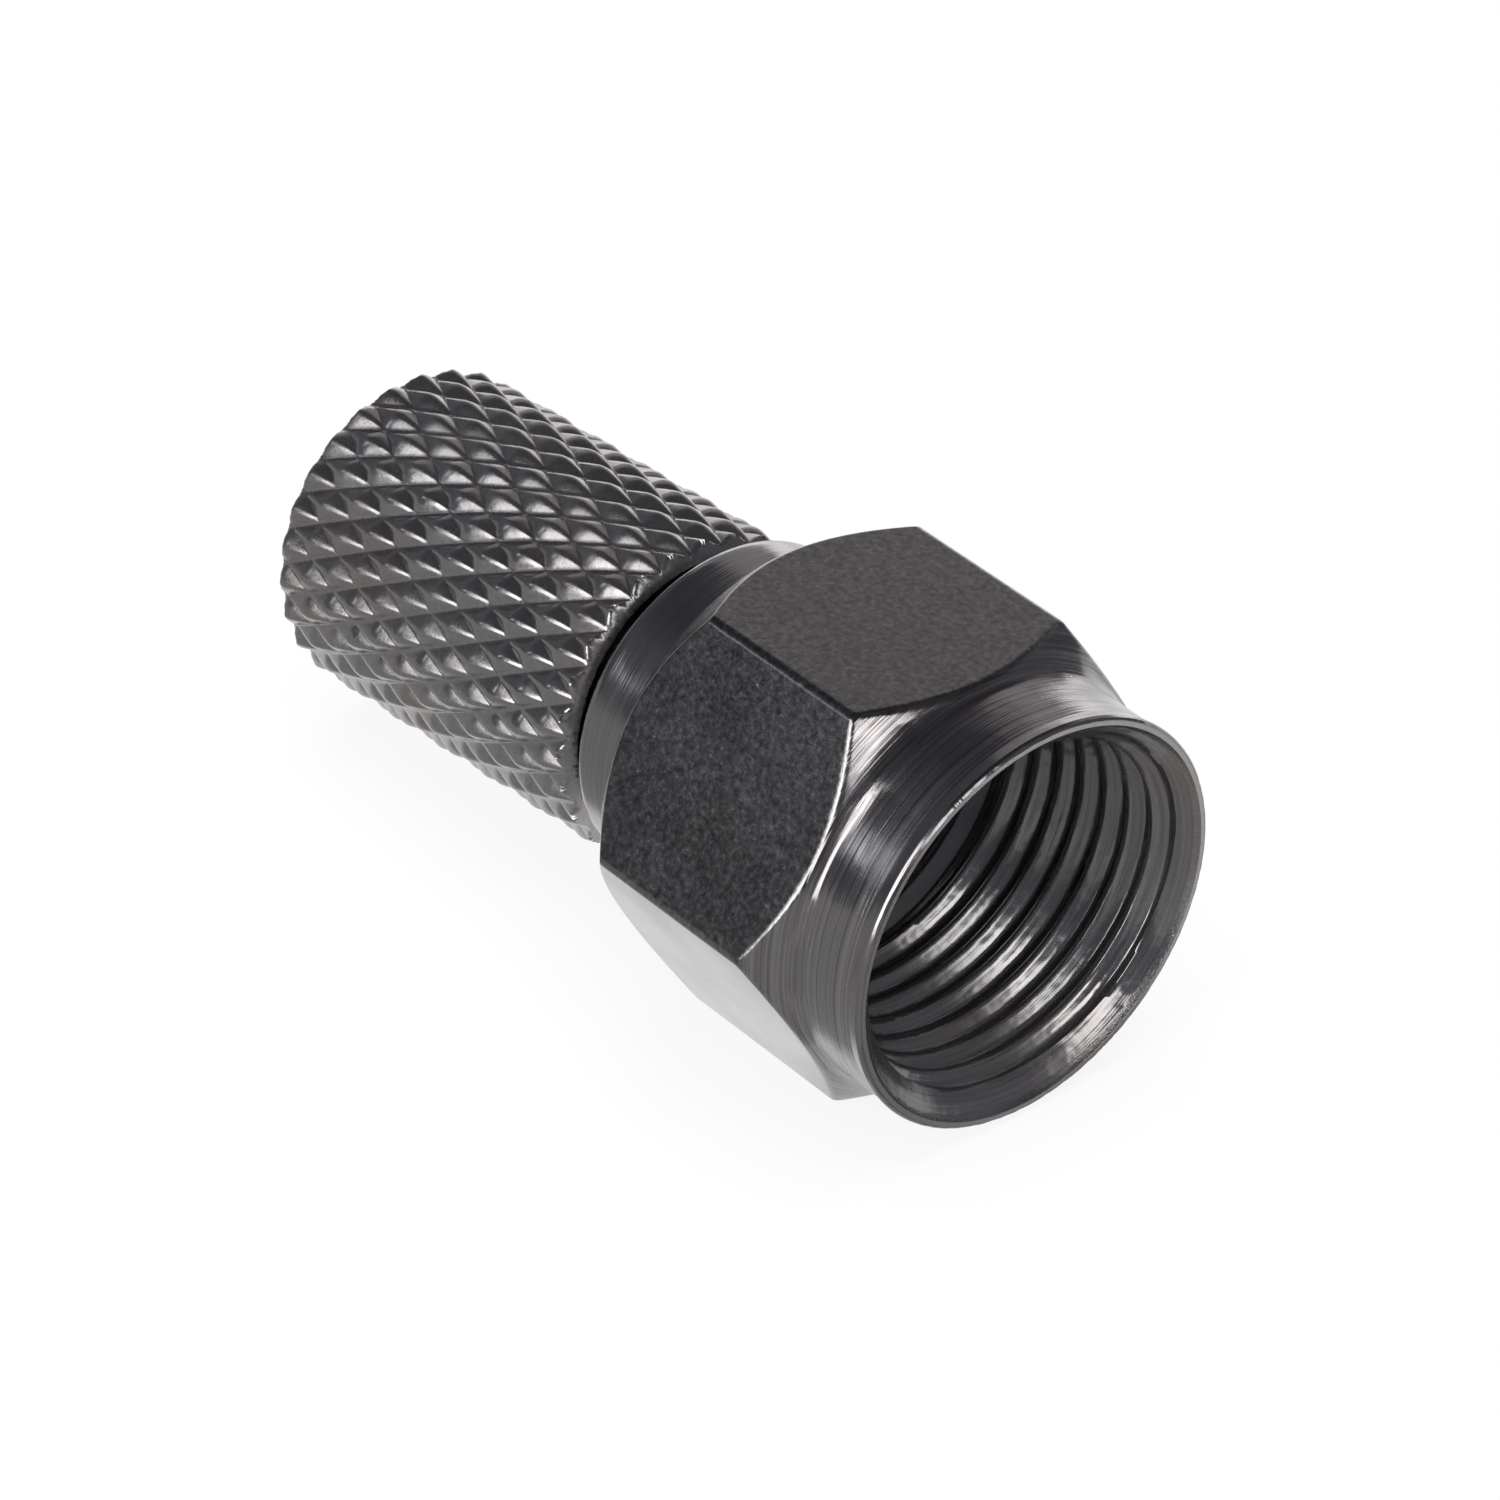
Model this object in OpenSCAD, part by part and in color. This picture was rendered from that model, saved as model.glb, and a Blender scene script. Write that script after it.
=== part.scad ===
// Twist-on coaxial F connector: a coupling nut that turns freely on a knurled connector body.
// Millimetres. +X runs out of the nut's mouth along the nut's axis, +Z is up, and the origin is
// on that axis where the port thread begins. The connector lies on a table at
// z = -across_flats/2: the nut rests on one flat, and the loose body droops in the nut's rear
// hole until the lower edge of its rear end touches the same table.

/* [Coupling nut] */
// Distance across the hexagon's flats
across_flats = 11; // [9:0.25:14]
// How much is turned off each corner of the hexagon
corner_cut = 0.04; // [0.02:0.01:0.3]
// Length of the hexagon measured along its corners
hex_len = 5; // [4:0.25:7]
// Angle of the front chamfer, measured from the nut's axis
front_chamfer_angle = 47; // [30:1:60]
// Angle of the rear chamfer, measured from the nut's axis
rear_chamfer_angle = 40; // [30:1:60]
// Width of the flat land on the mouth's rim
land_w = 0.3; // [0.2:0.01:0.8]
// How much thinner the collar's waist is than the rim, on the radius
waist_step = 0.06; // [0:0.01:0.2]
// Length of the round collar, from the rim to the foot of the front chamfer
collar_len = 2.1; // [1:0.1:4]
// Radius of the fillet at the foot of the front chamfer
foot_fillet = 0.5; // [0.1:0.05:1]
// Radius that breaks the rim's outer edge
rim_round = 0.05; // [0.03:0.01:0.2]
// Wall of the smooth hub behind the hexagon
hub_wall = 0.87; // [0.4:0.02:1.5]
// Radius of the hub's rounded rear edge
hub_round = 0.38; // [0.1:0.02:0.6]
// How far the hexagon's rear face lies behind its rear corners
rear_face_back = 1.1; // [0.5:0.02:2]

/* [Port thread] */
// Major diameter of the 3/8-32 port thread, where its bore wall stands
thread_d = 9.525; // [9:0.005:10]
// Length of the threaded wall
thread_len = 6; // [4:0.1:9]
// Depth of the countersink from the rim to the thread
countersink_len = 0.45; // [0.2:0.05:1]
// How much wider than the thread the countersink is at the rim, on the radius
countersink_step = 0.29; // [0.05:0.01:0.5]
// How much wider than the thread the relief behind it is, on the radius
relief_step = 0.2; // [0.05:0.01:0.4]
// Closest gap between the end of the thread and the body's drooped lip
lip_back = 0.15; // [0.05:0.05:1]

/* [Connector body] */
// Bore that screws on to the cable's jacket
jacket_bore_d = 6.4; // [5:0.05:7.6]
// Wall between that bore and the bottoms of the knurl's grooves
grip_wall = 0.86; // [0.4:0.02:1.2]
// Length of the knurled barrel
barrel_len = 11.45; // [8:0.05:16]
// Hole for the cable's insulated core
core_hole_d = 5; // [3.5:0.05:6]
// Wall of the neck that passes through the nut
neck_wall = 0.6; // [0.3:0.02:1]
// Length of the neck between the lip and the barrel
neck_len = 4.1; // [3:0.1:6]
// How far the flared lip overlaps the edge of the nut's rear hole, on the radius
lip_overlap = 0.74; // [0.4:0.02:1]
// Thickness of the lip
lip_t = 0.9; // [0.4:0.05:1.6]
// Solid web between the barrel's front face and the jacket bore
web_t = 0.9; // [0.4:0.1:2]
// Depth of the countersink at the cable's entry
entry_depth = 0.45; // [0.1:0.05:1]

/* [Knurl] */
// Number of grooves in each direction round the barrel
knurl_starts = 27; // [20:1:36]
// Angle between each groove and the barrel's axis
knurl_angle = 28.3; // [15:0.1:45]
// Depth of the grooves below the peaks
knurl_depth = 0.24; // [0.1:0.01:0.45]
// How far behind the barrel's rear end the first row of points would stand
knurl_back = 0.72; // [0:0.01:2]
// Turn of the knurl about the barrel's axis
knurl_turn = 5; // [0:0.5:15]
// Bevel at the front of the barrel, along the axis
front_bevel_len = 0.45; // [0.1:0.05:1]
// How far the barrel's front edge lies inside the bottoms of the grooves
front_bevel_step = 0.3; // [0.05:0.01:0.6]
// Bevel at the rear of the barrel, along the axis and on the radius
rear_bevel = 0.28; // [0.05:0.01:0.5]

/* [Clearances] */
// Closest gap between the drooped body and the nut at their end faces
face_gap = 0.1; // [0.05:0.01:0.3]
// Closest gap between the drooped neck and the nut's rear hole
neck_gap = 0.13; // [0.05:0.01:0.3]
// Least gap round the lip inside the nut
lip_gap = 0.3; // [0.1:0.05:0.6]

/* [Hidden] */
$fn = 96;
cut = 1;

// Diameters built up from the two bores outwards.
land_d = thread_d + 2*countersink_step;
rim_d = land_d + 2*land_w;
waist_d = rim_d - 2*waist_step;
corner_d = across_flats/cos(30) - 2*corner_cut;
barrel_d = jacket_bore_d + 2*(grip_wall + knurl_depth);
neck_d = core_hole_d + 2*neck_wall;

// The body pivots about the middle of its lip. It droops until the lower edge of the barrel's
// rear end is as low as the nut's lower flat.
body_len = lip_t + neck_len + barrel_len;
lever = body_len - lip_t/2 - rear_bevel;
reach = sqrt(pow(lever, 2) + pow(barrel_d/2, 2));
droop = asin((across_flats/2)/reach) - atan2(barrel_d/2, lever);

// The nut leaves room for that droop at every place where the two pieces meet.
hub_back = lip_t/2 + neck_len - barrel_d/2*sin(droop) - face_gap;
rear_hole_d = neck_d + 2*(hub_back*tan(droop) + neck_gap);
hub_d = rear_hole_d + 2*hub_wall;
lip_d = rear_hole_d + 2*lip_overlap;
lip_swing = lip_t/2*cos(droop) + lip_d/2*sin(droop);
pivot_x = -(thread_len + lip_back + lip_swing);
wall_x = pivot_x - lip_swing - face_gap;
hub_x = pivot_x - hub_back;
relief_d = max(thread_d + 2*relief_step, lip_d + 2*lip_gap);

// Stations along the nut.
mouth_x = countersink_len;
foot_x = mouth_x - collar_len;
corner_front_x = foot_x - (corner_d - waist_d)/2/tan(front_chamfer_angle);
corner_rear_x = corner_front_x - hex_len;
hex_rear_x = corner_rear_x - rear_face_back;
rear_face_d = corner_d - 2*rear_face_back*tan(rear_chamfer_angle);

// Turns a profile drawn as x along the axis and y as the radius into a solid along +X.
module turned() rotate([0, 90, 0]) rotate_extrude() rotate([0, 0, 90]) children();

// A straight round cutter along +X, from x0 to x1.
module round_bar(d, x0, x1) translate([x0, 0, 0]) rotate([0, 90, 0]) cylinder(d = d, h = x1 - x0);

// A tapered cutter along +X, from diameter d0 at x0 to d1 at x1.
module round_taper(d0, d1, x0, x1)
    translate([x0, 0, 0]) rotate([0, 90, 0]) cylinder(d1 = d0, d2 = d1, h = x1 - x0);

// Outline of the turned nut: rounded rim, collar with a slight waist, front chamfer with a fillet
// at its foot, the corners' diameter and the rear chamfer.
module nut_outline() {
    fillet_run = foot_fillet*tan(front_chamfer_angle/2);
    difference() {
        union() {
            polygon([
                [hex_rear_x, 0], [hex_rear_x, rear_face_d/2], [corner_rear_x, corner_d/2],
                [corner_front_x, corner_d/2], [foot_x, waist_d/2],
                [foot_x + fillet_run, waist_d/2], [mouth_x - 3*rim_round, rim_d/2],
                [mouth_x - rim_round, rim_d/2], [mouth_x - rim_round, 0]
            ]);
            polygon([[mouth_x - 2*rim_round, 0], [mouth_x - 2*rim_round, rim_d/2 - rim_round],
                [mouth_x, rim_d/2 - rim_round], [mouth_x, 0]]);
            translate([mouth_x - rim_round, rim_d/2 - rim_round]) circle(r = rim_round);
            // web that the foot's fillet is cut from
            polygon([[foot_x + fillet_run, waist_d/2], [foot_x, waist_d/2],
                [foot_x - fillet_run*cos(front_chamfer_angle),
                    waist_d/2 + fillet_run*sin(front_chamfer_angle)]]);
        }
        translate([foot_x + fillet_run, waist_d/2 + foot_fillet]) circle(r = foot_fillet);
    }
}

// The hub behind the hexagon, with its rounded rear edge.
module hub_outline() {
    polygon([[hub_x + hub_round, 0], [hub_x + hub_round, hub_d/2], [hex_rear_x + 0.5, hub_d/2],
        [hex_rear_x + 0.5, 0]]);
    polygon([[hub_x, 0], [hub_x, hub_d/2 - hub_round], [hub_x + 2*hub_round, hub_d/2 - hub_round],
        [hub_x + 2*hub_round, 0]]);
    translate([hub_x + hub_round, hub_d/2 - hub_round]) circle(r = hub_round);
}

module coupling_nut() {
    color([0.42, 0.41, 0.42]) difference() {
        union() {
            intersection() {
                turned() nut_outline();
                union() {
                    translate([hex_rear_x, 0, 0]) rotate([0, 90, 0]) rotate([0, 0, 30])
                        cylinder(d = across_flats/cos(30), h = foot_x - hex_rear_x, $fn = 6);
                    round_bar(rim_d, hex_rear_x, mouth_x);
                }
            }
            turned() hub_outline();
        }
        round_taper(thread_d, land_d, 0, mouth_x);
        round_bar(land_d, mouth_x, mouth_x + cut);
        round_bar(thread_d, -thread_len - 0.05, 0);
        round_bar(relief_d, wall_x, -thread_len);
        round_bar(rear_hole_d, hub_x - cut, wall_x + 0.05);
    }
}

// Places a piece drawn along +X, with its lip's middle at the origin, as the drooped body lies.
module drooped() translate([pivot_x, 0, 0]) rotate([0, -droop, 0]) children();

// Knurl: two sets of V grooves cross and leave pointed diamonds. Rows stand half a groove lead
// apart. In each row the points alternate between groove crossings and diamond peaks, and every
// four-sided cell is folded along the groove that runs through it.
row_step = PI*barrel_d/knurl_starts/tan(knurl_angle)/2;
row_count = ceil((barrel_len + knurl_back)/row_step) + 1;
row_points = 2*knurl_starts;
function knurl_radius(i, j) = barrel_d/2 - ((i + j) % 2 == 0 ? knurl_depth : 0);
function knurl_point(i, j) = let (a = 180*j/knurl_starts + knurl_turn, r = knurl_radius(i, j))
    [i*row_step, r*cos(a), r*sin(a)];
function at(i, j) = i*row_points + j % row_points;
function cell(i, j) = (i + j) % 2 == 0
    ? [[at(i, j), at(i + 1, j + 1), at(i, j + 1)], [at(i, j), at(i + 1, j), at(i + 1, j + 1)]]
    : [[at(i, j), at(i + 1, j), at(i, j + 1)], [at(i, j + 1), at(i + 1, j), at(i + 1, j + 1)]];

module knurled_bar() {
    points = [for (i = [0:row_count]) for (j = [0:row_points - 1]) knurl_point(i, j)];
    sides = [for (i = [0:row_count - 1]) for (j = [0:row_points - 1]) each cell(i, j)];
    ends = [
        [for (j = [0:row_points - 1]) at(0, j)],
        [for (j = [0:row_points - 1]) at(row_count, row_points - 1 - j)]
    ];
    polyhedron(points = points, faces = concat(sides, ends), convexity = 6);
}

// Envelope that trims the knurl: a bevelled front shoulder and a broken rear edge.
barrel_front_x = -lip_t/2 - neck_len;
barrel_rear_x = barrel_front_x - barrel_len;
groove_r = barrel_d/2 - knurl_depth;
module barrel_envelope() turned() polygon([
    [barrel_rear_x, 0], [barrel_rear_x, barrel_d/2 - rear_bevel],
    [barrel_rear_x + rear_bevel, barrel_d/2 + 0.01], [barrel_front_x - front_bevel_len, barrel_d/2 + 0.01],
    [barrel_front_x, groove_r - front_bevel_step], [barrel_front_x, 0]
]);

module connector_body() {
    color([0.36, 0.35, 0.36]) drooped() difference() {
        union() {
            intersection() {
                translate([barrel_rear_x - knurl_back, 0, 0]) knurled_bar();
                barrel_envelope();
            }
            round_bar(neck_d, barrel_front_x - 0.3, 0);
            round_bar(lip_d, -lip_t/2, lip_t/2);
        }
        round_bar(core_hole_d, barrel_front_x - web_t - 0.05, lip_t/2 + cut);
        round_bar(jacket_bore_d, barrel_rear_x - cut, barrel_front_x - web_t);
        round_taper(jacket_bore_d + 2*entry_depth, jacket_bore_d, barrel_rear_x,
            barrel_rear_x + entry_depth);
    }
}

coupling_nut();
connector_body();
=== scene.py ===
"""Looks of the twist-on F connector: a coupling nut and a knurled body, both in dark nickel plate.

Lengths are millimetres in the sizes and the mesh code, and metres in the node trees and the stage.
The nut is drawn in the part's own axes, with +X out of its mouth. The body is drawn along its own axis,
with the middle of its lip at the origin, where it turns in the nut.
"""

import math

import bmesh
import bpy
import numpy as np
from mathutils import Matrix, Vector


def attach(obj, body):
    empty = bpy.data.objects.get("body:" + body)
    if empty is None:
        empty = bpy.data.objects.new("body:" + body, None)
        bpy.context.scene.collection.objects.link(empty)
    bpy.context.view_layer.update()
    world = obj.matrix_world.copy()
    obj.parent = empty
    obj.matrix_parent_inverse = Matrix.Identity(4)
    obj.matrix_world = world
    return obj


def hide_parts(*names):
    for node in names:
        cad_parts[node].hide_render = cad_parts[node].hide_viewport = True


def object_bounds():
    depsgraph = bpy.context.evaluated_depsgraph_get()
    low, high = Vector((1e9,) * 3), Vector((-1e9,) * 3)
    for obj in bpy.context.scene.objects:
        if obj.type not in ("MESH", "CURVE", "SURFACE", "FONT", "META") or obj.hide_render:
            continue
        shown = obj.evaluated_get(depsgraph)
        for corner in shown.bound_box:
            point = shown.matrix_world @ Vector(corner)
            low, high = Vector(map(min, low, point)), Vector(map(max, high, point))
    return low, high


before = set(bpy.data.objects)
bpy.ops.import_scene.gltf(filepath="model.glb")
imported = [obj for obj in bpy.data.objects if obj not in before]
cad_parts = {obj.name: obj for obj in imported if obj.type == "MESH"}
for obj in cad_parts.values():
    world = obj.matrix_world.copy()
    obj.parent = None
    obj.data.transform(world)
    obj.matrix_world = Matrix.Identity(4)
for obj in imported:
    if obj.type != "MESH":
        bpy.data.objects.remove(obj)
CAD_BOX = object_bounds()

MM = 0.001
RNG = np.random.default_rng(8)

# ---------------------------------------------------------------- sizes

# The CAD model's driving sizes, which the finer meshes repeat. They have their names in part.scad, apart
# from the slopes of the hexagon's two chamfers, which are angles there.
ACROSS_FLATS, CORNER_CUT, HEX_LEN = 11, 0.04, 5
FRONT_SLOPE, REAR_SLOPE = math.tan(math.radians(47)), math.tan(math.radians(40))
LAND_W, WAIST_STEP, COLLAR_LEN = 0.3, 0.06, 2.1
HUB_WALL, HUB_ROUND, REAR_FACE_BACK = 0.87, 0.38, 1.1
THREAD_D, THREAD_LEN, RELIEF_STEP = 9.525, 6, 0.2
COUNTERSINK_LEN, COUNTERSINK_STEP = 0.45, 0.29
JACKET_BORE_D, GRIP_WALL, BARREL_LEN = 6.4, 0.86, 11.45
CORE_HOLE_D, NECK_WALL, NECK_LEN = 5, 0.6, 4.1
LIP_OVERLAP, LIP_T, LIP_BACK = 0.74, 0.9, 0.15
WEB_T, ENTRY_DEPTH, REAR_BEVEL = 0.9, 0.45, 0.28
KNURL_STARTS, KNURL_ANGLE, KNURL_DEPTH = 27, math.radians(28.3), 0.24
KNURL_BACK, KNURL_TURN = 0.72, math.radians(5)
FACE_GAP, NECK_GAP = 0.1, 0.13

# Radii built up from the two bores outwards
COS_30, TAN_30 = math.cos(math.radians(30)), math.tan(math.radians(30))
FLATS_R = ACROSS_FLATS / 2
CORNER_R = FLATS_R / COS_30 - CORNER_CUT
THREAD_R = THREAD_D / 2
RELIEF_R = THREAD_R + RELIEF_STEP
LAND_R = THREAD_R + COUNTERSINK_STEP
RIM_R = LAND_R + LAND_W
WAIST_R = RIM_R - WAIST_STEP
JACKET_R, CORE_R = JACKET_BORE_D / 2, CORE_HOLE_D / 2
NECK_R = CORE_R + NECK_WALL
BARREL_R = JACKET_R + GRIP_WALL + KNURL_DEPTH

# The body's stations along its own axis
LIP_X = LIP_T / 2
BARREL_FRONT_X = -LIP_X - NECK_LEN
BARREL_REAR_X = BARREL_FRONT_X - BARREL_LEN
WEB_X = BARREL_FRONT_X - WEB_T
KNURL_X = BARREL_REAR_X - KNURL_BACK
KNURL_ROW = math.pi * BARREL_R / KNURL_STARTS / math.tan(KNURL_ANGLE)

# The loose body droops until the lower edge of its rear end touches the table
LEVER = -BARREL_REAR_X - REAR_BEVEL
DROOP = math.asin(FLATS_R / math.hypot(LEVER, BARREL_R)) - math.atan2(BARREL_R, LEVER)

# The nut leaves room for that droop
HUB_BACK = -BARREL_FRONT_X - BARREL_R * math.sin(DROOP) - FACE_GAP
REAR_HOLE_R = NECK_R + HUB_BACK * math.tan(DROOP) + NECK_GAP
HUB_R = REAR_HOLE_R + HUB_WALL
LIP_R = REAR_HOLE_R + LIP_OVERLAP
LIP_SWING = LIP_X * math.cos(DROOP) + LIP_R * math.sin(DROOP)
PIVOT_X = -THREAD_LEN - LIP_BACK - LIP_SWING

# The nut's stations
MOUTH_X = COUNTERSINK_LEN
FOOT_X = MOUTH_X - COLLAR_LEN
HEX_REAR_X = FOOT_X - (CORNER_R - WAIST_R) / FRONT_SLOPE - HEX_LEN - REAR_FACE_BACK
REAR_FACE_R = CORNER_R - REAR_FACE_BACK * REAR_SLOPE
HUB_X = PIVOT_X - HUB_BACK
WALL_X = PIVOT_X - LIP_SWING - FACE_GAP
THREAD_END_X = -THREAD_LEN

# What the meshes add to the solids, or shape a little otherwise
CORNER_ROUND = CORNER_CUT / (1 / COS_30 - 1)
THREAD_CREST_R, THREAD_PITCH = 4.42, 25.4 / 32
FLARE_END_X, LAND_START_R, LAND_END_R = 0.3, LAND_R + 0.09, RIM_R - 0.1
BURR = 0.02
FOOT_FILLET, HUB_FILLET = 1.3, 0.6
HUB_FRONT_R, HUB_REAR_R = HUB_R - 0.06, HUB_R - 0.12
SHOULDER_LEN = 0.55
FRONT_BEVEL_R, FRONT_BEVEL_LEN = 3.84, 0.3
FRONT_SEAM_R, REAR_SEAM_R = 3.7, 3.78
JACKET_THREAD_PITCH, JACKET_THREAD_DEPTH, JACKET_RUNOUT = 1.4, 0.24, 0.3


# ---------------------------------------------------------------- mesh helpers

def softened(points, steps, hold):
    """Rows of a profile whose corners are rounded, and the number of each corner's middle row. points is a
    list of (x, radius, rounding), where x and radius are a number or one value a column. Every corner gets
    a row on each side of its rounding, at most hold away from it, so that the stretch between two corners
    is shaded flat."""
    side_share, wide_share = 0.42, 0.55  # of the shorter side, for a common rounding and a wide one
    count = max(np.size(c) for x, r, _ in points for c in (x, r))
    places = [[np.broadcast_to(c, count) for c in (x, r)] for x, r, _ in points]
    places = np.array(places, float).transpose(0, 2, 1)
    rows, middles = [places[0]], [0]
    for before, here, after, (_, _, rounding) in zip(places, places[1:], places[2:], points[1:]):
        into, out = here - before, after - here
        len_in, len_out = np.linalg.norm(into, axis=1), np.linalg.norm(out, axis=1)
        a, b = into / len_in[:, None], out / len_out[:, None]
        turn = np.arccos(np.clip((a * b).sum(1), -1, 1))
        shorter = np.minimum(len_in, len_out)
        most = shorter * (side_share if rounding < 1 else wide_share)
        reach = np.minimum(rounding * np.tan(turn / 2), most)
        edge = np.minimum(hold, 0.06 * shorter)
        middles.append(len(rows) + (steps + 3) // 2)
        rows.append(here - a * (reach + edge)[:, None])
        for s in np.linspace(0, 1, steps + 1):
            rows.append(here - a * (reach * (1 - s) ** 2)[:, None] + b * (reach * s * s)[:, None])
        rows.append(here + b * (reach + edge)[:, None])
    rows.append(places[-1])
    middles.append(len(rows) - 1)
    return rows, middles


def ring_points(x, r, phi):
    """Points at radius r round the X axis, one a column."""
    return np.stack([np.broadcast_to(x, phi.shape), r * np.cos(phi), r * np.sin(phi)], -1)


class Skin:
    """Points and faces collected from several sheets, welded into one object."""

    WELD, SLIVER, SHARP = 2e-7, 1e-7, math.radians(52)

    def __init__(self):
        self.points, self.faces, self.slots, self.count = [], [], [], 0

    def add(self, points, faces, slot):
        points, faces = np.asarray(points, float), np.asarray(faces, int)
        self.points.append(points)
        self.faces += (faces + self.count).tolist()
        self.slots += [slot] * len(faces)
        self.count += len(points)

    def sheet(self, rows, phi, slot, shift=0):
        """A closed tube of rows. shift is how many rows the sheet climbs in one turn, for a thread."""
        m, k = len(phi), len(rows)
        points = np.concatenate([ring_points(r[:, 0], r[:, 1], phi) for r in rows])
        i, j = np.meshgrid(np.arange(k - 1), np.arange(m), indexing="ij")
        i, j = i.ravel(), j.ravel()
        climb = np.where(j == m - 1, shift, 0)
        low, high = np.minimum(i + climb, k - 1), np.minimum(i + 1 + climb, k - 1)
        beside = (j + 1) % m
        faces = np.stack([i * m + j, low * m + beside, high * m + beside, (i + 1) * m + j], -1)
        self.add(points, faces, slot)

    def profile(self, points, starts, phi, steps=4, hold=0.03):
        """A tube along a profile of (x, radius, rounding). starts is a list of (slot, number of the point
        at which that material starts)."""
        rows, middles = softened(points, steps, hold)
        ends = [point for _, point in starts[1:]] + [len(points) - 1]
        for (slot, start), end in zip(starts, ends):
            self.sheet(rows[middles[start]:middles[end] + 1], phi, slot)

    def zip_rings(self, outer, inner, slot):
        """Fills the flat ring between two loops of points round the X axis, however many each has."""
        def ordered(loop):
            angle = np.arctan2(loop[:, 2], loop[:, 1]) % (2 * math.pi)
            order = np.argsort(angle)
            return loop[order], angle[order]

        a, angle_a = ordered(outer)
        b, angle_b = ordered(inner)
        na, nb, i, j, faces = len(a), len(b), 0, 0, []
        while i < na or j < nb:
            next_a = angle_a[(i + 1) % na] + 2 * math.pi * ((i + 1) // na)
            next_b = angle_b[(j + 1) % nb] + 2 * math.pi * ((j + 1) // nb)
            if j >= nb or (i < na and next_a <= next_b):
                faces.append((i % na, (i + 1) % na, na + j % nb))
                i += 1
            else:
                faces.append((i % na, na + (j + 1) % nb, na + j % nb))
                j += 1
        self.add(np.concatenate([a, b]), faces, slot)

    def build(self, name, materials):
        bm = bmesh.new()
        verts = [bm.verts.new(p) for p in np.concatenate(self.points) * MM]
        for face, slot in zip(self.faces, self.slots):
            corners = list(dict.fromkeys(face))
            if len(corners) > 2:
                f = bm.faces.new([verts[n] for n in corners])
                f.material_index, f.smooth = slot, True
        bmesh.ops.remove_doubles(bm, verts=bm.verts, dist=self.WELD)
        bmesh.ops.dissolve_degenerate(bm, edges=bm.edges, dist=self.SLIVER)
        bmesh.ops.recalc_face_normals(bm, faces=bm.faces)
        mesh = bpy.data.meshes.new(name)
        bm.to_mesh(mesh)
        bm.free()
        for m in materials:
            mesh.materials.append(m)
        mesh.set_sharp_from_angle(angle=self.SHARP)
        obj = bpy.data.objects.new(name, mesh)
        bpy.context.scene.collection.objects.link(obj)
        return obj


def thread_rows(phi, x_low, x_high, pitch, crest_r, root_r, bore, phase, form):
    """Rows of an inside thread that follow its helix from x_low to x_high. form is a list of (share of a
    pitch, share of the height from root to crest). bore is a list of (x, radius): a wider bore that cuts
    the thread away, for where the thread runs out. The rows climb by len(form) in one turn."""
    share = np.array([s for s, _ in form] + [1 + form[0][0]])
    level = np.array([h for _, h in form] + [form[0][1]])
    lead = pitch * (phi / (2 * math.pi) + phase)
    first = math.floor((x_low - pitch * (phase + 1)) / pitch) - 1
    last = math.ceil((x_high - pitch * phase) / pitch) + 1
    rows = []
    for turn in range(first, last + 1):
        for s in share[:-1]:
            x = np.clip(lead + pitch * (turn + s), x_low, x_high)
            at = ((x - lead) / pitch - share[0]) % 1 + share[0]
            r = root_r + (crest_r - root_r) * np.interp(at, share, level)
            rows.append(np.stack([x, np.maximum(r, np.interp(x, *np.transpose(bore)))], -1))
    return rows


# ---------------------------------------------------------------- coupling nut

def hexagon_columns():
    """Angles of the nut's columns, close together at the six rounded edges."""
    side = [0, 0.3, 0.6, 0.9, 1.18, 1.3, 2, 3, 4, 5.2, 6.4, 7.7, *np.arange(9, 31, 1.5)]
    sector = [-s for s in side[:0:-1]] + side[:-1]
    return np.sort(np.radians([60 * k + s for k in range(6) for s in sector]) % (2 * math.pi))


def hexagon_radius(phi):
    """Distance from the axis to the hexagon with rounded edges."""
    off = np.abs((np.degrees(phi) + 30) % 60 - 30)
    flat = FLATS_R / np.cos(np.radians(30 - off))
    inner = FLATS_R - CORNER_ROUND
    centre = inner / COS_30
    t = np.radians(off)
    rounded = centre * np.cos(t) + np.sqrt(np.maximum(CORNER_ROUND**2 - (centre * np.sin(t)) ** 2, 0))
    tangent = math.degrees(math.atan(inner * TAN_30 / FLATS_R))
    return np.where(off < 30 - tangent, rounded, flat)


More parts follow.
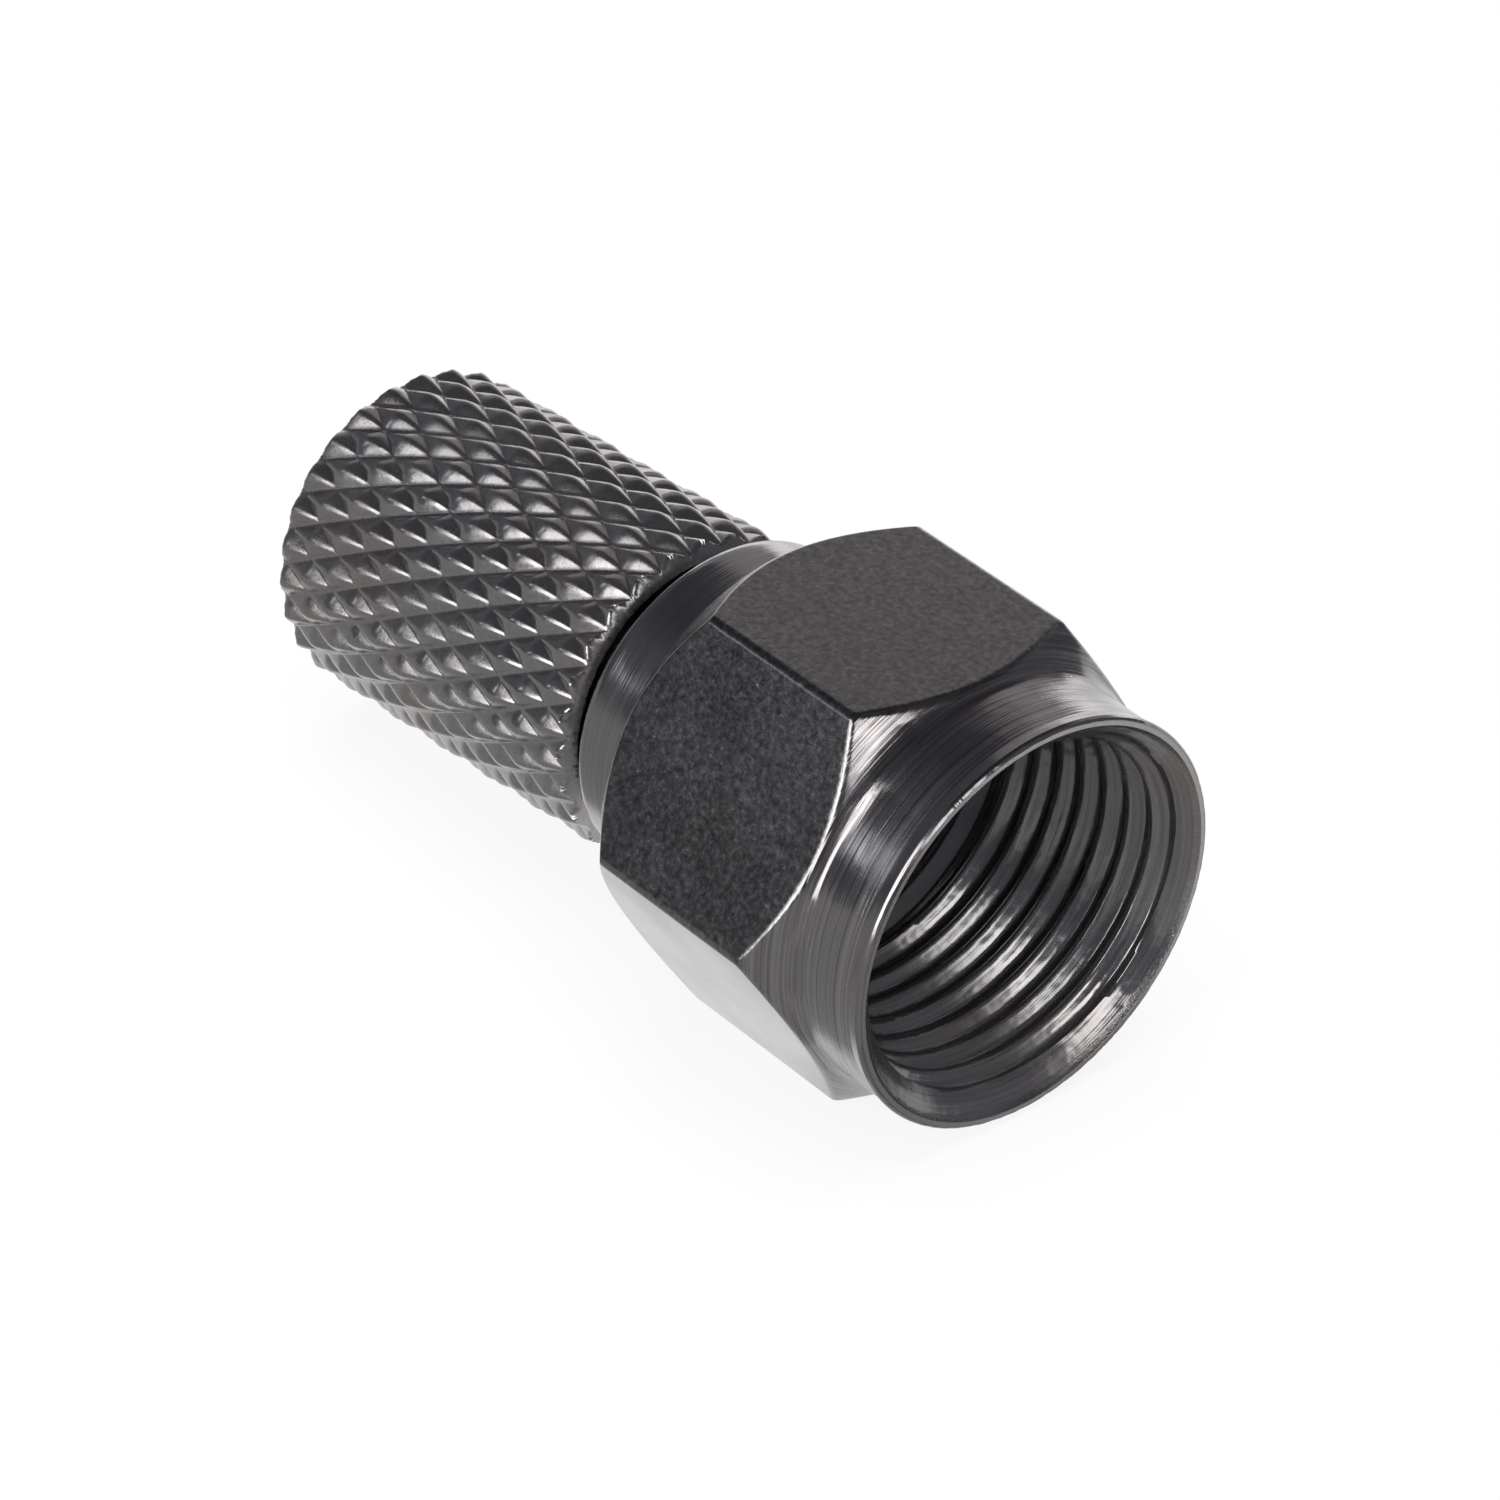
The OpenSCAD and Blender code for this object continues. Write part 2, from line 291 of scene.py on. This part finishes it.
def build_nut(materials):
    turned, flats, thread, hub, land, inner = range(6)
    phi = hexagon_columns()
    hexagon = hexagon_radius(phi)
    skin = Skin()

    # port thread: rounded crests and roots, cut away behind the last turn and by the flared mouth
    form = [(k / 12, 0.5 + 0.5 * math.cos(math.pi * k / 6) + 0.04 * math.cos(math.pi * k / 3))
            for k in range(12)]
    bore = [(THREAD_END_X, 4.75), (THREAD_END_X + 0.2, 4.71), (THREAD_END_X + 0.6, THREAD_CREST_R),
            (-0.3, THREAD_CREST_R), (0.1, 4.8), (FLARE_END_X, LAND_R), (MOUTH_X, LAND_R + 0.08)]
    rows = thread_rows(phi, THREAD_END_X, FLARE_END_X, THREAD_PITCH, THREAD_CREST_R, THREAD_R, bore,
                       phase=0.35, form=form)
    skin.sheet(rows, phi, thread, len(form))
    thread_rear_r, thread_front_r = rows[0][:, 1], rows[-1][:, 1]

    # the chamfered land round the mouth
    skin.profile([(FLARE_END_X, thread_front_r, 0), (MOUTH_X, LAND_START_R, 0.02),
                  (MOUTH_X, LAND_END_R, 0)], [(land, 0)], phi, 3, 0.01)

    # from the land over the outside to the thread's rear end
    burr = BURR * RNG.random(len(phi)) ** 2
    front_chamfer_x = FOOT_X - (hexagon - WAIST_R) / FRONT_SLOPE
    rear_chamfer_x = HEX_REAR_X + (hexagon - REAR_FACE_R) / REAR_SLOPE
    outside = [
        (MOUTH_X, LAND_END_R, 0),
        (MOUTH_X, RIM_R - 0.07 - burr, 0.01),
        (MOUTH_X - 0.045 - burr, RIM_R - 0.024, 0.02),
        (MOUTH_X - 0.13, RIM_R - 0.002, 0.05),
        (MOUTH_X - 0.42, WAIST_R, 0.4),
        (FOOT_X, WAIST_R, FOOT_FILLET),
        (front_chamfer_x, hexagon, 0.32),
        (rear_chamfer_x, hexagon, 0.14),
        (HEX_REAR_X, REAR_FACE_R, 0.09),
        (HEX_REAR_X, HUB_FRONT_R, HUB_FILLET),
        (HUB_X, HUB_REAR_R, HUB_ROUND),
        (HUB_X, REAR_HOLE_R, 0.12),
        (WALL_X, REAR_HOLE_R, 0.05),
        (WALL_X, RELIEF_R, 0.05),
        (THREAD_END_X - SHOULDER_LEN, RELIEF_R, 0.03),
        (THREAD_END_X - SHOULDER_LEN, THREAD_R, 0.03),
        (THREAD_END_X, THREAD_R, 0.01),
        (THREAD_END_X, thread_rear_r, 0),
    ]
    skin.profile(outside, [(turned, 0), (flats, 6), (turned, 7), (hub, 9), (inner, 12)], phi, 5)
    return skin.build("nut", materials)


# ---------------------------------------------------------------- connector body

def knurl_height(p, q):
    """Height of the knurl, near 0 in a groove and 1 on a point. p and q count half the spacing of each set
    of grooves, so that either is an even number in its own grooves."""
    tip, root = 0.75, 0.14  # how rounded the points are, and the bottoms of the grooves
    shallow = 0.17  # how much less deep the second set of grooves is pressed
    fall_p, fall_q = np.abs(p % 2 - 1), (1 - shallow) * np.abs(q % 2 - 1)
    # round near the tip, and nearer to a square towards the grooves
    power = 2 + 10 * np.maximum(np.maximum(fall_p, fall_q) - 0.3, 0)
    fall = (fall_p**power + fall_q**power) ** (1 / power)
    height = 1 - (np.hypot(fall, tip) - tip) / (math.hypot(1, tip) - tip)
    height = np.hypot(np.maximum(height, 0), root) - root
    return np.clip(height, 0, 1) / (math.hypot(1, root) - root)


def add_knurl(skin, slot):
    """Adds the barrel's knurled face, and returns its rear and front loops of points. Its lattice runs
    along both sets of grooves, so that each groove is a row of edges."""
    lines = np.array([0, 0.06, 0.2, 0.4, 0.58, 0.74, 0.88, 1])  # from a groove up to the ridge
    n = len(lines) - 1
    around = 2 * KNURL_STARTS * n

    def lattice(index):
        unit, step = index // n, index % n
        return unit + np.where(unit % 2 == 0, lines[step], 1 - lines[n - step])

    first = math.floor(2 * n * (BARREL_REAR_X - KNURL_X) / KNURL_ROW) - 2 * n
    last = math.ceil(2 * n * (BARREL_FRONT_X - KNURL_X) / KNURL_ROW) + 2 * n
    along = np.arange(first, last + 1)
    i, k = np.meshgrid(np.arange(around), along, indexing="ij")
    p, q = lattice(i), lattice(i - k)
    phi = (p + q) / 2 * math.pi / KNURL_STARTS + KNURL_TURN
    x = np.clip(KNURL_X + (p - q) / 2 * KNURL_ROW, BARREL_REAR_X, BARREL_FRONT_X)

    # no two points are pressed to the same height, and both ends are bevelled
    repeat = 97  # points after which the unevenness comes back
    missing = 0.07  # the largest share of its height that a point may lack
    chance = RNG.random((repeat, 131))
    uneven = chance[np.floor(p / 2).astype(int) % repeat, np.floor(q / 2).astype(int) % repeat]
    r = BARREL_R - KNURL_DEPTH + KNURL_DEPTH * knurl_height(p, q) * (1 - missing * uneven)
    front_bevel_slope = (BARREL_R + 0.01 - FRONT_BEVEL_R) / FRONT_BEVEL_LEN
    rear_bevel_slope = 1.4
    r = np.minimum(r, FRONT_BEVEL_R + (BARREL_FRONT_X - x) * front_bevel_slope)
    r = np.minimum(r, BARREL_R - REAR_BEVEL + (x - BARREL_REAR_X) * rear_bevel_slope)
    points = np.stack([x, r * np.cos(phi), r * np.sin(phi)], -1).reshape(-1, 3)

    def at(i, k):
        return (i % around) * len(along) + k

    # each cell of the lattice is two triangles, folded along the crease that runs through it
    i, k = np.meshgrid(np.arange(around), np.arange(1, len(along) - 1), indexing="ij")
    i, k = i.ravel(), k.ravel()
    a, b, c, d = at(i, k), at(i + 1, k + 1), at(i + 1, k), at(i, k - 1)
    same = ((i // n) % 2 == ((i - along[k]) // n) % 2)[:, None]
    triangles = np.concatenate([
        np.where(same, np.stack([a, b, c], -1), np.stack([a, b, d], -1)),
        np.where(same, np.stack([a, c, d], -1), np.stack([b, c, d], -1)),
    ])
    ends = points[triangles, 0]
    rear, front = BARREL_REAR_X + 1e-6, BARREL_FRONT_X - 1e-6
    triangles = triangles[(ends.max(1) > rear) & (ends.min(1) < front)]
    used, triangles = np.unique(triangles, return_inverse=True)
    points = points[used]
    skin.add(points, triangles.reshape(-1, 3), slot)
    return points[points[:, 0] < rear], points[points[:, 0] > front]


def build_body(materials):
    knurl, turned, thread = range(3)
    ring = np.linspace(0, 2 * math.pi, 216, endpoint=False)
    skin = Skin()
    rear_loop, front_loop = add_knurl(skin, knurl)

    # front face, neck, lip, core hole and the bottom of the jacket bore
    web_r, runout_x = JACKET_R + 0.12, WEB_X - JACKET_RUNOUT
    skin.profile([
        (BARREL_FRONT_X, FRONT_SEAM_R, 0), (BARREL_FRONT_X, NECK_R, 0.1), (-LIP_X, NECK_R, 0.1),
        (-LIP_X, LIP_R, 0.12), (LIP_X, LIP_R, 0.12), (LIP_X, CORE_R, 0.15), (WEB_X, CORE_R, 0.06),
        (WEB_X, web_r, 0.05), (runout_x, web_r, 0),
    ], [(turned, 0)], ring)

    # coarse thread that grips the jacket, countersunk at the cable's entry
    form = [(-0.2, 1.0), (0.2, 1.0), (0.3, 0.3), (0.45, 0.0), (0.55, 0.0), (0.7, 0.3)]
    entry_x, entry_r = BARREL_REAR_X + 0.02, JACKET_R + ENTRY_DEPTH
    bore = [(BARREL_REAR_X, entry_r), (BARREL_REAR_X + ENTRY_DEPTH, JACKET_R), (WEB_X, JACKET_R)]
    rows = thread_rows(ring, entry_x, runout_x, JACKET_THREAD_PITCH, JACKET_R,
                       JACKET_R + JACKET_THREAD_DEPTH, bore, phase=0, form=form)
    skin.sheet(rows, ring, thread, len(form))
    skin.zip_rings(ring_points(runout_x, web_r, ring), ring_points(runout_x, rows[-1][:, 1], ring), thread)

    # rear face
    skin.profile([(entry_x, rows[0][:, 1], 0), (BARREL_REAR_X, entry_r + 0.01, 0.015),
                  (BARREL_REAR_X, REAR_SEAM_R, 0)], [(turned, 0)], ring, 2, 0.005)
    skin.zip_rings(rear_loop, ring_points(BARREL_REAR_X, REAR_SEAM_R, ring), turned)
    skin.zip_rings(front_loop, ring_points(BARREL_FRONT_X, FRONT_SEAM_R, ring), turned)

    body = skin.build("body", materials)
    body.data.transform(Matrix.Translation((PIVOT_X * MM, 0, 0)) @ Matrix.Rotation(-DROOP, 4, "Y"))
    return body


# ---------------------------------------------------------------- materials

class Nodes:
    """Short way to write a node tree."""

    def __init__(self, name):
        self.material = bpy.data.materials.new(name)
        self.material.use_nodes = True
        self.tree = self.material.node_tree
        self.shader = self.tree.nodes["Principled BSDF"]

    def new(self, kind, inputs=(), **settings):
        node = self.tree.nodes.new(kind)
        for key, value in settings.items():
            setattr(node, key, value)
        for key, value in dict(inputs).items():
            if isinstance(value, bpy.types.NodeSocket):
                self.tree.links.new(value, node.inputs[key])
            else:
                node.inputs[key].default_value = value
        return node

    def math(self, operation, *values, clamp=False):
        node = self.new("ShaderNodeMath", enumerate(values), operation=operation, use_clamp=clamp)
        return node.outputs[0]

    def add(self, *values, clamp=False):
        return self.math("ADD", *values, clamp=clamp)

    def times(self, *values):
        return self.math("MULTIPLY", *values)

    def noise(self, vector, scale, detail=2.0, roughness=0.5):
        node = self.new("ShaderNodeTexNoise", {"Vector": vector, "Scale": scale, "Detail": detail,
                                               "Roughness": roughness})
        return node.outputs["Fac"]

    def ramp(self, value, low, high, to_low, to_high):
        return self.new("ShaderNodeMapRange", enumerate((value, low, high, to_low, to_high))).outputs[0]

    def mix(self, factor, a, b, blend="MIX"):
        node = self.new("ShaderNodeMix", {"Factor": factor, "A": a, "B": b}, data_type="RGBA",
                        blend_type=blend)
        return node.outputs["Result"]

    def link(self, output, name):
        self.tree.links.new(output, self.shader.inputs[name])


def place_on_piece(t, drooped):
    """Object coordinates, turned back to the body's own axis where the piece droops."""
    place = t.new("ShaderNodeTexCoord").outputs["Object"]
    if not drooped:
        return place
    home = Matrix.Rotation(DROOP, 4, "Y") @ Vector((-PIVOT_X * MM, 0, 0))
    mapping = t.new("ShaderNodeMapping", {"Vector": place, "Location": home, "Rotation": (0, DROOP, 0)})
    return mapping.outputs[0]


def turning_lines(t, place, scale):
    """Fine rings such as a lathe tool leaves: noise that knows only the place along and from the axis."""
    x, y, z = t.new("ShaderNodeSeparateXYZ", {0: place}).outputs
    radius = t.math("SQRT", t.add(t.times(y, y), t.times(z, z)))
    wobble = t.times(t.noise(place, 500.0), 0.00006)
    across = t.new("ShaderNodeCombineXYZ", {0: t.add(x, wobble), 1: radius, 2: 0.0}).outputs[0]
    fine, coarse = t.noise(across, scale, 2.0, 0.6), t.noise(across, scale * 0.28)
    return t.add(t.times(fine, 0.65), t.times(coarse, 0.35))


def nickel_colour(t, place, marks, colour, tone, cast):
    """Colour of the plating: lighter and darker by tone with the marks, with a faint brownish cast in
    patches and a few specks of dust."""
    darker, lighter = ([min(1, c * share) for c in colour] for share in (1 - tone, 1 + tone))
    shade = t.mix(t.ramp(marks, -0.2, 0.2, 0.0, 1.0), (*darker, 1), (*lighter, 1))
    patches = t.ramp(t.noise(place, 320.0), 0.5, 0.7, 0.0, cast)
    brown = t.mix(patches, shade, (1.0, 0.9, 0.78, 1), "MULTIPLY")
    specks = t.new("ShaderNodeTexVoronoi", {"Vector": place, "Scale": 1500.0})
    small = t.math("LESS_THAN", specks.outputs["Distance"], 0.022)
    one_number = t.new("ShaderNodeSeparateXYZ", {0: specks.outputs["Color"]}).outputs[0]
    rare = t.math("GREATER_THAN", one_number, 0.5)
    return t.mix(t.times(small, rare), brown, (0.75, 0.74, 0.72, 1))


def metal(name, colour, rough, lines=0.0, line_scale=14000.0, grain=0.0, grain_scale=16000.0, dull=0.08,
          tone=0.12, cast=0.35, metallic=1.0, coat=0.3, waves=0.0, drooped=False):
    """Dark nickel plate. lines is how strong the turning marks are, grain that of the satin speckle and
    waves that of the unevenness a thread tool leaves. dull is how far the roughness wanders. drooped is
    for the body, whose marks run round its own axis."""
    t = Nodes(name)
    place = place_on_piece(t, drooped)
    turning = turning_lines(t, place, line_scale)
    speckle = t.noise(place, grain_scale, 4.0, 0.68)

    patches = t.ramp(t.noise(place, 900.0), 0.35, 0.65, 0.35, 1.0)
    height = t.add(t.times(t.times(turning, patches), lines), t.times(speckle, grain))
    if waves:
        height = t.add(height, t.times(t.noise(place, 2400.0, 1.0), waves))
    bump = t.new("ShaderNodeBump", {"Strength": 1.0, "Distance": 0.00002, "Height": height})
    t.link(bump.outputs[0], "Normal")

    line_marks = t.times(t.math("SUBTRACT", turning, 0.5), 1.6 * min(lines, 1))
    grain_marks = t.times(t.math("SUBTRACT", speckle, 0.5), min(1.0, 4 * grain + 0.1))
    marks = t.add(line_marks, grain_marks)
    broad = t.ramp(t.noise(place, 450.0, 3.0), 0.35, 0.65, rough - dull, rough + dull)
    t.link(t.add(broad, t.times(marks, 0.25), clamp=True), "Roughness")
    t.link(nickel_colour(t, place, marks, colour, tone, cast), "Base Color")

    t.shader.inputs["Metallic"].default_value = metallic
    t.shader.inputs["Coat Weight"].default_value = coat
    t.shader.inputs["Coat Roughness"].default_value = rough
    return t.material


# ---------------------------------------------------------------- pieces

PLATE = (0.27, 0.26, 0.264)
nut = build_nut([
    metal("nut_turned", (0.275, 0.262, 0.265), 0.18, lines=1.1, line_scale=15000.0, tone=0.32, coat=0.12),
    metal("nut_flats", (0.155, 0.149, 0.151), 0.22, grain=0.4, grain_scale=6500.0, dull=0.03, tone=0.6,
          cast=0.08, coat=0.8),
    metal("nut_thread", (0.27, 0.26, 0.265), 0.2, lines=0.6, line_scale=11000.0, tone=0.3, metallic=0.88,
          coat=0.1, waves=0.9),
    metal("nut_hub", PLATE, 0.18, lines=0.5, line_scale=15000.0, tone=0.18),
    metal("nut_land", (0.4, 0.385, 0.385), 0.28, lines=0.3, grain=0.6, grain_scale=9000.0),
    # rear wall and relief behind the port thread: pale bluish and mostly matte, a painted reflection that
    # lifts this shaded recess to blue-grey
    metal("nut_inner_painted_reflection", (0.42, 0.43, 0.47), 0.5, lines=0.4, grain=0.2, metallic=0.2),
])
body = build_body([
    metal("body_knurl", (0.3, 0.288, 0.29), 0.25, grain=0.12, grain_scale=9000.0, tone=0.2, metallic=0.97,
          coat=0.1, drooped=True),
    metal("body_turned", PLATE, 0.2, lines=0.3, drooped=True),
    metal("body_thread", PLATE, 0.22, lines=0.2, drooped=True),
])
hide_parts("coupling_nut")
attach(nut, "coupling_nut")
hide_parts("connector_body")
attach(body, "connector_body")


# ---------------------------------------------------------------- camera and lamps

def add_camera():
    """The camera that was fitted to the photograph."""
    data = bpy.data.cameras.new("camera")
    data.sensor_width, data.lens = 36, 156
    data.clip_start, data.clip_end = 0.01, 10
    camera = bpy.data.objects.new("camera", data)
    right = Vector((0.64238, 0.76583, 0.02915))
    up = Vector((-0.45671, 0.35199, 0.81702))
    back = Vector((0.61544, -0.53815, 0.57588))
    place = Vector((85.73, -83.434, 88.536)) * MM
    camera.matrix_world = Matrix.Translation(place) @ Matrix((right, up, back)).transposed().to_4x4()
    bpy.context.scene.collection.objects.link(camera)
    bpy.context.scene.camera = camera


def add_lamp(name, azimuth, elevation, distance, width, height, strength, colour=(1, 1, 1)):
    """A soft area lamp that faces the connector. strength is how bright its face looks."""
    data = bpy.data.lights.new(name, "AREA")
    data.shape, data.size, data.size_y = "RECTANGLE", width, height
    data.energy = strength * math.pi * width * height
    data.color = colour
    lamp = bpy.data.objects.new(name, data)
    a, e = math.radians(azimuth), math.radians(elevation)
    direction = Vector((math.sin(a) * math.cos(e), -math.cos(a) * math.cos(e), math.sin(e)))
    middle = Vector((-0.008, 0, 0))
    lamp.location = middle + direction * distance
    lamp.rotation_euler = direction.to_track_quat("Z", "Y").to_euler()
    bpy.context.scene.collection.objects.link(lamp)
    return lamp


add_camera()
add_lamp("back", -139, 4.5, 0.5, 0.5, 0.14, 1.6, (1, 0.975, 0.965))
add_lamp("back_high", -139, 27, 0.52, 0.5, 0.22, 0.31, (1, 0.93, 0.91))
add_lamp("right", 82, 31, 0.4, 0.2, 0.12, 3.4)
add_lamp("left", -38, 24, 0.4, 0.05, 0.1, 1.8, (0.9, 0.95, 1))
add_lamp("front", 0, 25, 0.4, 0.22, 0.34, 4.6)
overhead = add_lamp("overhead", -150, 86, 0.5, 0.6, 0.6, 2.9)
overhead.visible_glossy = False


# ---------------------------------------------------------------- floor and world

def paper():
    """White paper that keeps the shadow, and glows evenly near white to the camera. In the metal it glows
    as a painted reflection: white under the connector, and grey in front of its mouth and beside it."""
    t = Nodes("floor")
    t.shader.inputs["Base Color"].default_value = (0.93, 0.93, 0.93, 1)
    t.shader.inputs["Roughness"].default_value = 1.0
    t.shader.inputs["Specular IOR Level"].default_value = 0.0
    x, y, _ = t.new("ShaderNodeSeparateXYZ", {0: t.new("ShaderNodeTexCoord").outputs["Object"]}).outputs
    # painted reflection: how brightly the paper glows in the metal, set by place on the floor and not by
    # any lamp
    grey, far_grey, near_grey = 0.28, 0.72, 0.45
    painted_reflection_level = t.math("MAXIMUM", t.ramp(x, -0.0045, 0.002, 1.0, grey),
                            t.ramp(y, 0.004, 0.008, grey, far_grey))
    painted_reflection_level = t.math("MAXIMUM", painted_reflection_level, t.ramp(y, -0.009, -0.007, near_grey, grey))
    painted_reflection_level = t.math("MINIMUM", t.ramp(y, -0.0056, -0.0046, 0.4, 1.0), painted_reflection_level)
    path = t.new("ShaderNodeLightPath").outputs
    level = t.math("MAXIMUM", path["Is Camera Ray"], painted_reflection_level)
    white = t.new("ShaderNodeEmission", {"Color": (1, 1, 1, 1), "Strength": level})
    mirrored = t.add(path["Is Glossy Ray"], path["Is Transmission Ray"])
    share = t.add(t.times(path["Is Camera Ray"], 0.88), mirrored)
    blend = t.new("ShaderNodeMixShader", {0: share, 1: t.shader.outputs[0], 2: white.outputs[0]})
    t.tree.links.new(blend.outputs[0], t.tree.nodes["Material Output"].inputs["Surface"])
    return t.material


def add_floor():
    half, z = 1.6, CAD_BOX[0].z
    mesh = bpy.data.meshes.new("floor")
    corners = [(-half, -half, z), (half, -half, z), (half, half, z), (-half, half, z)]
    mesh.from_pydata(corners, [], [(0, 1, 2, 3)])
    mesh.materials.append(paper())
    floor = bpy.data.objects.new("floor", mesh)
    bpy.context.scene.collection.objects.link(floor)


def add_world():
    """A dim room of a slightly bluish grey, a little lighter halfway up and darker overhead."""
    blue = 1.13
    world = bpy.data.worlds.new("world")
    bpy.context.scene.world = world
    world.use_nodes = True
    nodes, links = world.node_tree.nodes, world.node_tree.links
    height = nodes.new("ShaderNodeSeparateXYZ")
    shade = nodes.new("ShaderNodeValToRGB")
    stops = shade.color_ramp.elements
    stops[0].color, stops[1].color = (0.13, 0.13, 0.147, 1), (0.06, 0.06, 0.069, 1)
    for at, level in ((0.2, 0.13), (0.55, 0.16), (0.72, 0.08)):
        stops.new(at).color = (level, level, level * blue, 1)
    links.new(nodes.new("ShaderNodeTexCoord").outputs["Generated"], height.inputs[0])
    links.new(height.outputs["Z"], shade.inputs[0])
    links.new(shade.outputs[0], nodes["Background"].inputs["Color"])


add_floor()
add_world()
bpy.context.scene.view_settings.view_transform = "Standard"
